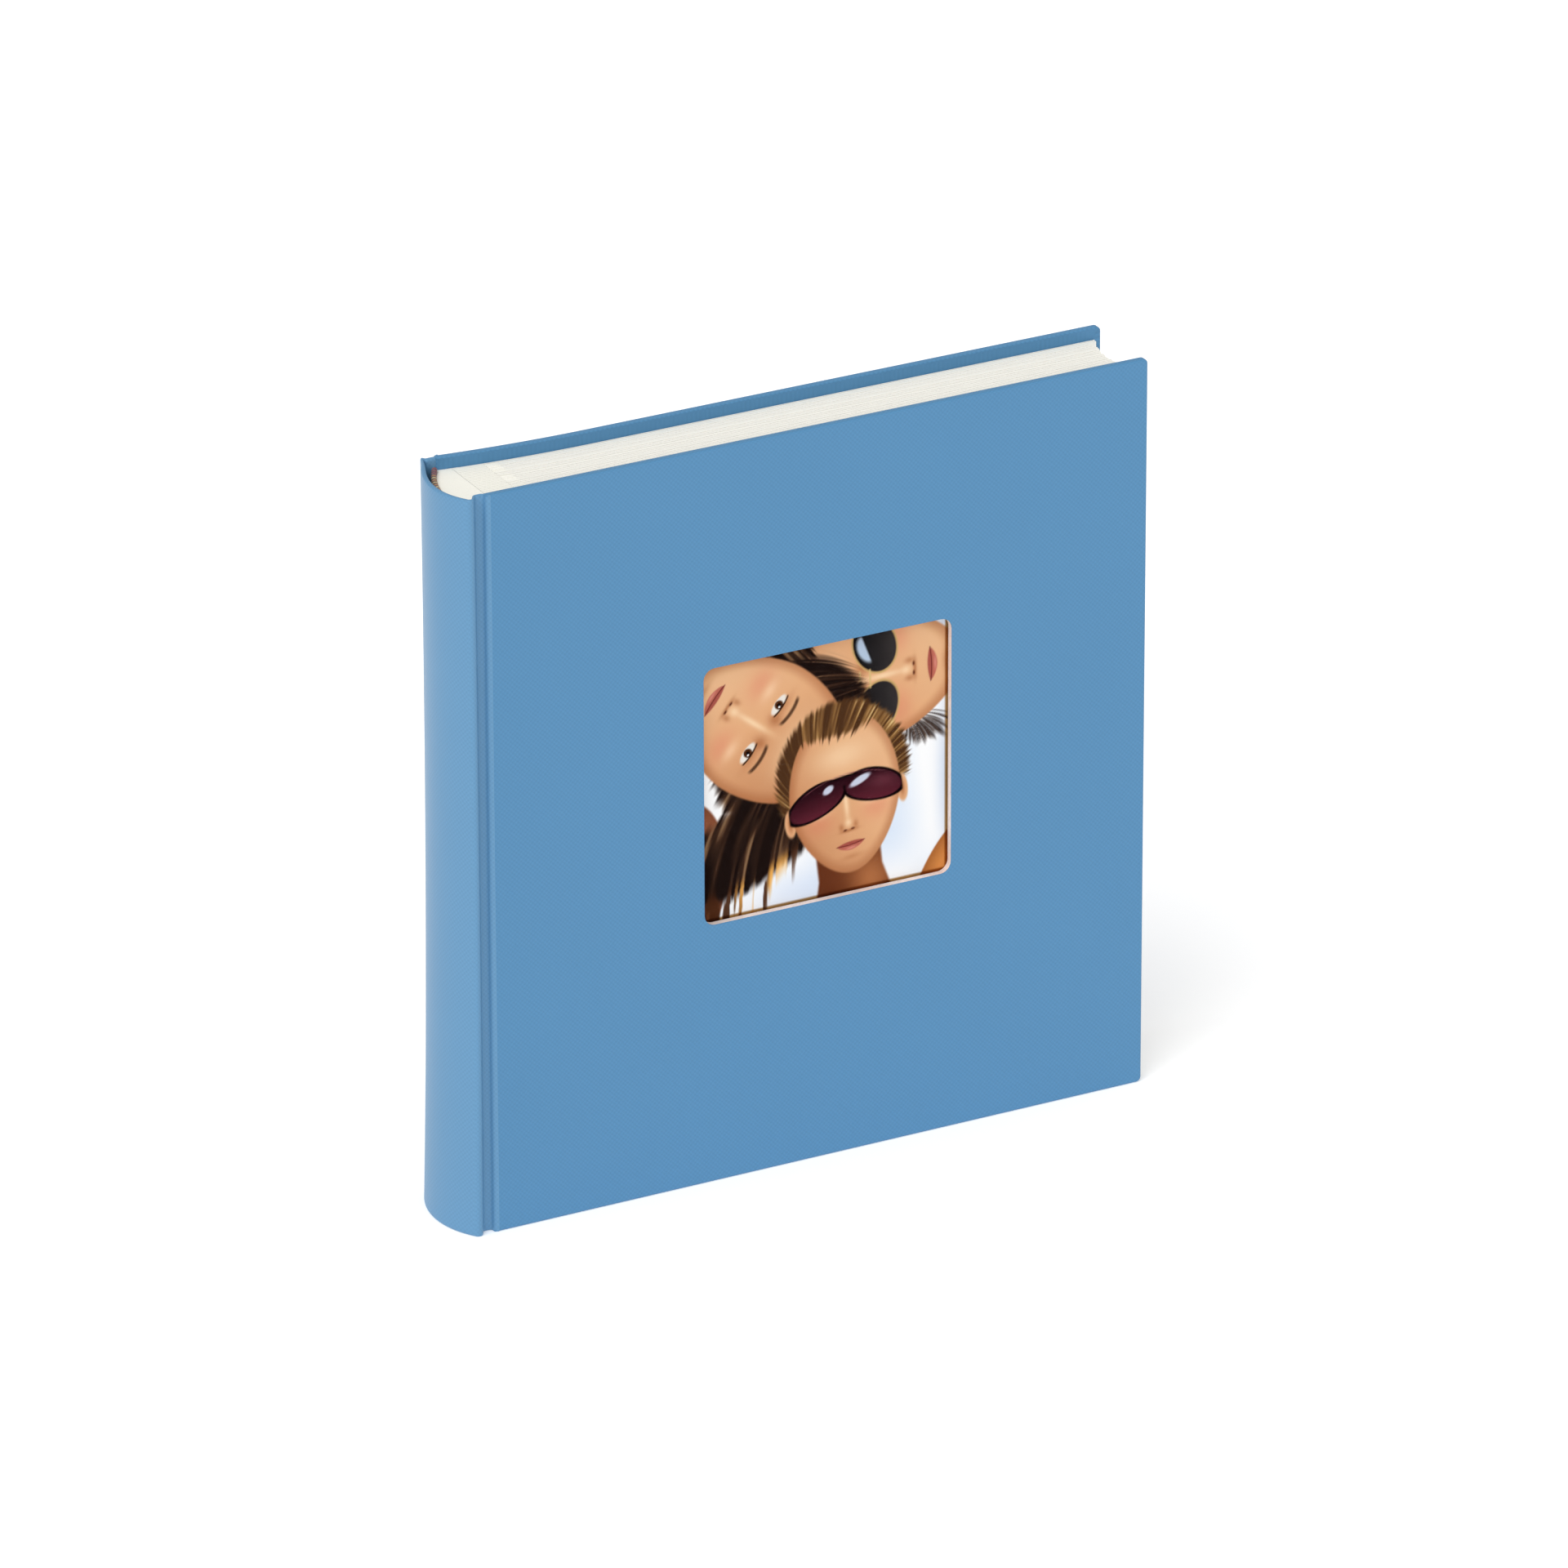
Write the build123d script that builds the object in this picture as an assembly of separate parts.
from build123d import *
import math
import os

# A book-bound scrapbook album, closed and standing upright on its tail edge, in millimetres.
# +X runs from the spine to the fore-edge, the front cover faces -Y and +Z runs from tail to head.
# The origin is under the middle of the album's box, at the surface that it stands on.

# Driving dimensions
HEIGHT = 300.0  # covers and spine, tail to head
WIDTH = 293.4  # back of the spine to the fore-edge of the covers
FORE_THICKNESS = 39.6  # over both covers at the fore-edge
SPINE_THICKNESS = 45.6  # over the two shoulders of the spine
SPINE_RADIUS = 36.5  # outside of the rounded spine
SHOULDER_STEP = 1.0  # the shoulders stand this far proud of the front cover
SHOULDER_FALL = 0.8  # the spine's arc ends this far inside the shoulders
SHOULDER_RUN = 1.3  # and runs on straight for this length
SHOULDER_BEND = 0.9  # radius between the shoulder and the groove
COVER_WIDTH = 278.0  # each cover, hinge edge to fore-edge
BOARD = 2.5
SPINE_INLAY = 1.4
CLOTH = 0.3
TURN_IN = 15.0  # how far the cloth is turned in over the boards
CORNER_RADIUS = 2.0
HINGE_EDGE_RADIUS = 2.0
JOINT_DEPTH = 1.85  # groove between cover and spine
JOINT_FLOOR = 4.6  # flat bottom of the groove
JOINT_BEND = 1.0  # radius at the spine side of that bottom

BOW_LENGTH = 62.0  # the back cover bends outwards over this distance from its hinge edge
BOW_RADIUS = 450.0

WINDOW = 105.0  # square picture window in the front cover
WINDOW_RADIUS = 4.5
WINDOW_X = 10.7  # its middle
WINDOW_Z = 159.1
FILM = 0.2
PRINT = 0.25
POCKET_BACK = 0.4
POCKET_BACK_RADIUS = 3.0
POCKET_MARGIN = 10.5  # the hole in the pastedown is larger than the window by this, all round
FILM_PLAY = 0.5  # film to the edge of that hole
PRINT_PLAY = 1.0  # print to the edge of that hole
THUMB_NOTCH = 12.0

PAPER = 0.25  # pastedowns and flyleaves
PASTEDOWN_INSET = 4.0
PASTEDOWN_INSET_HINGE = 1.0
PASTEDOWN_INSET_ENDS = 5.0  # at head and tail
SQUARE = 4.8  # covers stand this far past the leaves at head and tail
LEAF_FORE_INSET = 3.0
FORE_HOLLOW = 4.0  # depth of the hollow fore-edge
FOLIO_COUNT = 24
LEAVES_PER_FOLIO = 2
LEAF = 0.5
BLOCK_GAP = 0.25  # pastedown to flyleaf
FLYLEAF_GAP = 0.15  # flyleaf to the first folio
PASTE_GAP = 0.05  # between pieces that touch in the real album
BLOCK_RADIUS = 34.5  # rounded back of the text block
BLOCK_CENTRE_X = -107.3
TURN_X = -125.3  # line on which every folio turns
FLYLEAF_TURN_X = TURN_X - 0.3
GUARD_END_X = TURN_X - 0.5
CARD_START_X = TURN_X + 12.0  # the leaf's flexible hinge ends and its card begins
STRIP_END_X = CARD_START_X + 9.0  # the hinge strip is glued between the two leaves to here
GUARD_GAP = 0.05
INNER_HINGE = 0.45
INNER_HINGE_X = -137.8  # they start here, at the shoulder of the block
MULL = 0.3
LINER = 0.3
BAND_TAPE = 0.25
BAND_TAPE_LENGTH = 14.0
BEAD_RADIUS = 1.6
BEAD_INSET = 0.2  # bead's middle line, inside the back of the block

# Worked out from them
SPINE_X = -WIDTH / 2
FORE_X = WIDTH / 2
HINGE_X = FORE_X - COVER_WIDTH
SPINE_CENTRE_X = SPINE_X + SPINE_RADIUS
SHOULDER_Y = SPINE_THICKNESS / 2
FRONT_Y = -SHOULDER_Y + SHOULDER_STEP
BACK_Y = FRONT_Y + FORE_THICKNESS
COVER = BOARD + 2 * CLOTH
BOW_START = HINGE_X + BOW_LENGTH
FRONT_INNER_Y = FRONT_Y + COVER + PAPER
BACK_INNER_Y = BACK_Y - COVER - PAPER
FRONT_FLYLEAF_Y = FRONT_INNER_Y + POCKET_BACK + BLOCK_GAP
BACK_FLYLEAF_Y = BACK_INNER_Y - BLOCK_GAP
BLOCK_FRONT_Y = FRONT_FLYLEAF_Y + PAPER + FLYLEAF_GAP
BLOCK_BACK_Y = BACK_FLYLEAF_Y - PAPER - FLYLEAF_GAP
LEAF_PITCH = (BLOCK_BACK_Y - BLOCK_FRONT_Y) / (FOLIO_COUNT * LEAVES_PER_FOLIO)
INNER_BOW_RADIUS = BOW_RADIUS + COVER + PAPER
STRAIGHT = math.inf
SPINE_HALF_ANGLE = math.degrees(math.asin((SHOULDER_Y - SHOULDER_FALL) / SPINE_RADIUS))
LINER_HALF_ANGLE = 29.0
BEAD_HALF_ANGLE = 30.0
OUT = 40.0  # further than any piece reaches, for cutting
PAST = 1.0  # how far a cut runs on past a face


def block_bow(y):
    """Bow radius of a sheet of the block whose flat part lies at y: straight in front, the cover's own behind."""
    share = (y - FRONT_FLYLEAF_Y) / (BACK_INNER_Y - FRONT_FLYLEAF_Y)
    return INNER_BOW_RADIUS / share if share > 0.01 else STRAIGHT


def bowed_y(x, y, radius):
    """Where a bowed line, straight at y towards the fore-edge, lies at x."""
    run = max(0.0, BOW_START - x)
    return y if radius == STRAIGHT else y + radius - math.sqrt(radius**2 - run**2)


def bowed_line(x_from, x_to, y, radius):
    """Edges of a bowed line from x_from down to x_to, in the plan view."""
    if radius == STRAIGHT or x_to >= BOW_START:
        return [Line((x_from, y), (x_to, bowed_y(x_to, y, radius)))]
    edges = []
    if x_from > BOW_START:
        edges.append(Line((x_from, y), (BOW_START, y)))
        x_from = BOW_START
    middle = (x_from + x_to) / 2
    arc = [(x, bowed_y(x, y, radius)) for x in (x_from, middle, x_to)]
    return edges + [ThreePointArc(*arc)]


def sheet(x_spine, x_fore, front, back, z_low, z_high):
    """A sheet standing upright between two bowed lines, each given as (y, bow radius)."""
    near = bowed_line(x_fore, x_spine, *front)
    far = bowed_line(x_fore, x_spine, *back)
    ends = [
        Line((x_spine, bowed_y(x_spine, *front)), (x_spine, bowed_y(x_spine, *back))),
        Line((x_fore, bowed_y(x_fore, *front)), (x_fore, bowed_y(x_fore, *back))),
    ]
    plan = make_face(Wire(near + far + ends))
    return extrude(Pos(0, 0, z_low) * plan, z_high - z_low, dir=(0, 0, 1))


def ring_part(centre_x, inner, outer, half_angle, z_low, z_high):
    """Part of an upright ring about (centre_x, 0), to each side of the -X direction."""
    start, size = 180 - half_angle, 2 * half_angle
    arcs = [CenterArc((centre_x, 0), r, start, size) for r in (inner, outer)]
    ends = [Line(arcs[0] @ t, arcs[1] @ t) for t in (0, 1)]
    plan = make_face(Wire(arcs + ends))
    return extrude(Pos(0, 0, z_low) * plan, z_high - z_low, dir=(0, 0, 1))


def window_prism(side, radius):
    """The window's opening, right through, or a larger square about the same middle."""
    square = RectangleRounded(side, side, radius) if radius else Rectangle(side, side)
    plane = Plane((WINDOW_X, -OUT, WINDOW_Z), x_dir=(1, 0, 0), z_dir=(0, 1, 0))
    return extrude(plane * square, OUT)


def window_sheet(side, y_low, thickness, radius=0):
    """A square sheet behind the window."""
    return window_prism(side, radius) & Pos(0, y_low + thickness / 2, HEIGHT / 2) * Box(
        2 * WIDTH, thickness, 2 * HEIGHT
    )


def cover_slab(front, back, inset):
    """A cover's outline between two bowed lines, smaller by inset all round."""
    slab = sheet(HINGE_X + inset, FORE_X - inset, front, back, inset, HEIGHT - inset)
    corners = slab.edges().filter_by(Axis.Y).group_by(Axis.X)[-1]
    return fillet(corners, CORNER_RADIUS - inset)


def layers(outer_y, inward, bowed):
    """Lines of a cover at depths below its outer face. inward is 1 for the front cover, -1 for the back."""

    def line(depth):
        return (outer_y + inward * depth, BOW_RADIUS + depth if bowed else STRAIGHT)

    return line


def between(line, shallow, deep, inward):
    """Two lines of a cover in the order that sheet() takes: the one nearer the front first."""
    pair = (line(shallow), line(deep))
    return pair if inward == 1 else pair[::-1]


def hinge_edge(slab, outer_y):
    """The upright outer edge next to the joint."""
    upright = slab.edges().filter_by(Axis.Z).group_by(Axis.X)[0]
    return max(upright, key=lambda e: abs(e.position_at(0.5).Y - outer_y) < 1e-3)


def cover_board(line, inward):
    """Grey board, with its hinge edge rounded over."""
    board = cover_slab(*between(line, CLOTH, CLOTH + BOARD, inward), CLOTH)
    corner_y = bowed_y(HINGE_X + CLOTH, *line(CLOTH))
    return fillet(hinge_edge(board, corner_y), HINGE_EDGE_RADIUS - CLOTH)


def cover_cloth(line, inward, board):
    """Covering over the outside and all four edges of a board, turned in at head, tail and fore-edge."""
    skin = cover_slab(*between(line, 0, COVER, inward), 0)
    skin = fillet(hinge_edge(skin, bowed_y(HINGE_X, *line(0))), HINGE_EDGE_RADIUS)
    opening = sheet(
        HINGE_X + CLOTH,
        FORE_X - TURN_IN,
        *between(line, CLOTH + BOARD, COVER + PAST, inward),
        TURN_IN,
        HEIGHT - TURN_IN,
    )
    return skin - board - opening


def pastedown(line, inward):
    """Endpaper pasted inside a cover: over the turn-ins at its edges, down on the board inside them."""
    over = sheet(
        HINGE_X + PASTEDOWN_INSET_HINGE,
        FORE_X - PASTEDOWN_INSET,
        *between(line, COVER, COVER + PAPER, inward),
        PASTEDOWN_INSET_ENDS,
        HEIGHT - PASTEDOWN_INSET_ENDS,
    )
    inside = sheet(
        HINGE_X + PASTEDOWN_INSET_HINGE,
        FORE_X - TURN_IN,
        *between(line, CLOTH + BOARD, COVER, inward),
        TURN_IN,
        HEIGHT - TURN_IN,
    )
    return over + inside


def joint_cloth(side, groove_y):
    """Covering pressed into the groove between spine and cover. side is -1 in front and 1 behind."""
    turn = math.radians(SPINE_HALF_ANGLE)
    start_x = SPINE_CENTRE_X - SPINE_RADIUS * math.cos(turn)
    start_y = side * SPINE_RADIUS * math.sin(turn)
    shoulder_x = start_x + SHOULDER_RUN * math.sin(turn)
    shoulder_y = start_y + side * SHOULDER_RUN * math.cos(turn)
    points = [(start_x, start_y), (shoulder_x, shoulder_y)]
    points += [(HINGE_X - JOINT_FLOOR, groove_y), (HINGE_X, groove_y)]
    outer = FilletPolyline(*points, radius=(SHOULDER_BEND, JOINT_BEND))
    inner_side = Side.LEFT if side == -1 else Side.RIGHT
    strip = outer.wire().offset_2d(CLOTH, side=inner_side, closed=True)
    return extrude(make_face(strip), HEIGHT, dir=(0, 0, 1))


def folio(number):
    """Two card leaves on one flexible hinge strip, which is glued between them and bends along TURN_X."""
    z = (SQUARE, HEIGHT - SQUARE)
    middle = (number - 0.5) / FOLIO_COUNT
    x_fore = FORE_X - LEAF_FORE_INSET - FORE_HOLLOW * (1 - (2 * middle - 1) ** 2)
    first = BLOCK_FRONT_Y + (number - 1) * LEAVES_PER_FOLIO * LEAF_PITCH
    faces = []
    for leaf in range(LEAVES_PER_FOLIO):
        y = first + leaf * LEAF_PITCH + (LEAF_PITCH - LEAF) / 2
        faces.append([(y, block_bow(y)), (y + LEAF, block_bow(y + LEAF))])
    cards = [sheet(CARD_START_X, x_fore, *pair, *z) for pair in faces]
    strip = sheet(TURN_X, STRIP_END_X, faces[0][1], faces[1][0], *z)
    return cards[0] + strip + cards[1]


def guard_strips():
    """The bound margins: one strip of each folio, trimmed to the rounded back of the block."""
    rounding = Pos(BLOCK_CENTRE_X, 0, HEIGHT / 2) * Cylinder(BLOCK_RADIUS, HEIGHT)
    strips = []
    pitch = LEAVES_PER_FOLIO * LEAF_PITCH
    for number in range(FOLIO_COUNT):
        front = BLOCK_FRONT_Y + number * pitch + GUARD_GAP / 2
        back = front + pitch - GUARD_GAP
        lines = [(front, block_bow(front)), (back, block_bow(back))]
        strip = sheet(SPINE_X, GUARD_END_X, *lines, SQUARE, HEIGHT - SQUARE)
        strips.append((strip & rounding).solid())
    return Compound(strips)


def inner_hinge(front, back):
    """Strip of mull and endpaper that hangs the block in its case, between its shoulder and the cover."""
    return sheet(INNER_HINGE_X, GUARD_END_X, front, back, SQUARE, HEIGHT - SQUARE)


def end_band(z_block, outward):
    """A beaded band on its tape, glued across the back of the block. outward is 1 at the head, -1 at the tail."""
    tape_r = BLOCK_RADIUS + MULL + LINER
    bead_r = BLOCK_RADIUS - BEAD_INSET
    bead_z = z_block + outward * BEAD_RADIUS
    reach = z_block - outward * BAND_TAPE_LENGTH
    low, high = sorted((reach, bead_z))
    tape = ring_part(BLOCK_CENTRE_X, tape_r, tape_r + BAND_TAPE, BEAD_HALF_ANGLE, low, high)
    side = Plane((BLOCK_CENTRE_X, 0, 0), x_dir=(1, 0, 0), z_dir=(0, -1, 0))
    section = side * Pos(-bead_r, bead_z) * Circle(BEAD_RADIUS)
    axis = Axis((BLOCK_CENTRE_X, 0, 0), (0, 0, 1))
    turned = section.rotate(axis, -BEAD_HALF_ANGLE)
    return tape + revolve(turned, axis, 2 * BEAD_HALF_ANGLE)


def build():
    front = layers(FRONT_Y, 1, bowed=False)
    back = layers(BACK_Y, -1, bowed=True)
    opening = window_prism(WINDOW, WINDOW_RADIUS)
    nodes = {}

    # Front cover: covering, board with the window, and the picture pocket behind it
    solid_board = cover_board(front, 1)
    nodes["front_board"] = solid_board - opening
    nodes["front_cover_cloth"] = cover_cloth(front, 1, solid_board) - opening
    hole_side = WINDOW + 2 * POCKET_MARGIN
    nodes["front_pastedown"] = pastedown(front, 1) - window_prism(hole_side, 0)
    board_inner_y = front(CLOTH + BOARD)[0]
    nodes["window_film"] = window_sheet(hole_side - 2 * FILM_PLAY, board_inner_y, FILM)
    print_y = FRONT_INNER_Y - PRINT - PASTE_GAP
    nodes["photo_print"] = window_sheet(hole_side - 2 * PRINT_PLAY, print_y, PRINT)
    card_side = WINDOW + 4 * POCKET_MARGIN
    notch_plane = Plane(
        (WINDOW_X, -OUT, WINDOW_Z + card_side / 2), x_dir=(1, 0, 0), z_dir=(0, 1, 0)
    )
    notch = extrude(notch_plane * Circle(THUMB_NOTCH), OUT)
    card = window_sheet(card_side, FRONT_INNER_Y, POCKET_BACK, POCKET_BACK_RADIUS)
    nodes["pocket_back"] = card - notch

    # Back cover
    back_board = cover_board(back, -1)
    nodes["back_board"] = back_board
    nodes["back_cover_cloth"] = cover_cloth(back, -1, back_board)
    nodes["back_pastedown"] = pastedown(back, -1)

    # Spine: covering over a flexible inlay, hollow behind the block
    r_in = SPINE_RADIUS - SPINE_INLAY - 2 * CLOTH
    spine = (SPINE_CENTRE_X, r_in + CLOTH, SPINE_RADIUS - CLOTH, SPINE_HALF_ANGLE)
    inlay = ring_part(*spine, CLOTH, HEIGHT - CLOTH)
    wrap = ring_part(SPINE_CENTRE_X, r_in, SPINE_RADIUS, SPINE_HALF_ANGLE, 0, HEIGHT)
    ring = (SPINE_CENTRE_X, r_in - PAST, r_in + CLOTH, SPINE_HALF_ANGLE + PAST)
    hollow = ring_part(*ring, TURN_IN, HEIGHT - TURN_IN)
    nodes["spine_inlay"] = inlay
    nodes["spine_cloth"] = wrap - inlay - hollow
    nodes["front_joint_cloth"] = joint_cloth(-1, FRONT_Y + JOINT_DEPTH)
    back_hinge_y = bowed_y(HINGE_X, *back(0))
    nodes["back_joint_cloth"] = joint_cloth(1, back_hinge_y - JOINT_DEPTH)

    # Back of the text block
    block_z = (SQUARE, HEIGHT - SQUARE)
    mull_r = BLOCK_RADIUS + MULL
    ring = (BLOCK_CENTRE_X, BLOCK_RADIUS, mull_r, LINER_HALF_ANGLE)
    nodes["spine_mull"] = ring_part(*ring, *block_z)
    ring = (BLOCK_CENTRE_X, mull_r, mull_r + LINER, LINER_HALF_ANGLE)
    nodes["spine_liner"] = ring_part(*ring, *block_z)
    nodes["headband"] = end_band(HEIGHT - SQUARE, 1)
    nodes["tailband"] = end_band(SQUARE, -1)
    nodes["guard_strips"] = guard_strips()
    y = FRONT_INNER_Y + PASTE_GAP
    lines = [(y, STRAIGHT), (y + INNER_HINGE, STRAIGHT)]
    nodes["front_inner_hinge"] = inner_hinge(*lines)
    y = BACK_INNER_Y - PASTE_GAP
    lines = [(y - INNER_HINGE, INNER_BOW_RADIUS + INNER_HINGE), (y, INNER_BOW_RADIUS)]
    nodes["back_inner_hinge"] = inner_hinge(*lines)

    # Leaves
    leaf_fore_x = FORE_X - LEAF_FORE_INSET
    for name, y in (
        ("front_flyleaf", FRONT_FLYLEAF_Y),
        ("back_flyleaf", BACK_FLYLEAF_Y - PAPER),
    ):
        lines = [(y, block_bow(y)), (y + PAPER, block_bow(y + PAPER))]
        nodes[name] = sheet(FLYLEAF_TURN_X, leaf_fore_x, *lines, *block_z)
    for number in range(1, FOLIO_COUNT + 1):
        nodes[f"folio_{number:02d}"] = folio(number)
    return nodes


os.makedirs("parts", exist_ok=True)
for name, shape in build().items():
    export_step(shape, f"parts/{name}.step")
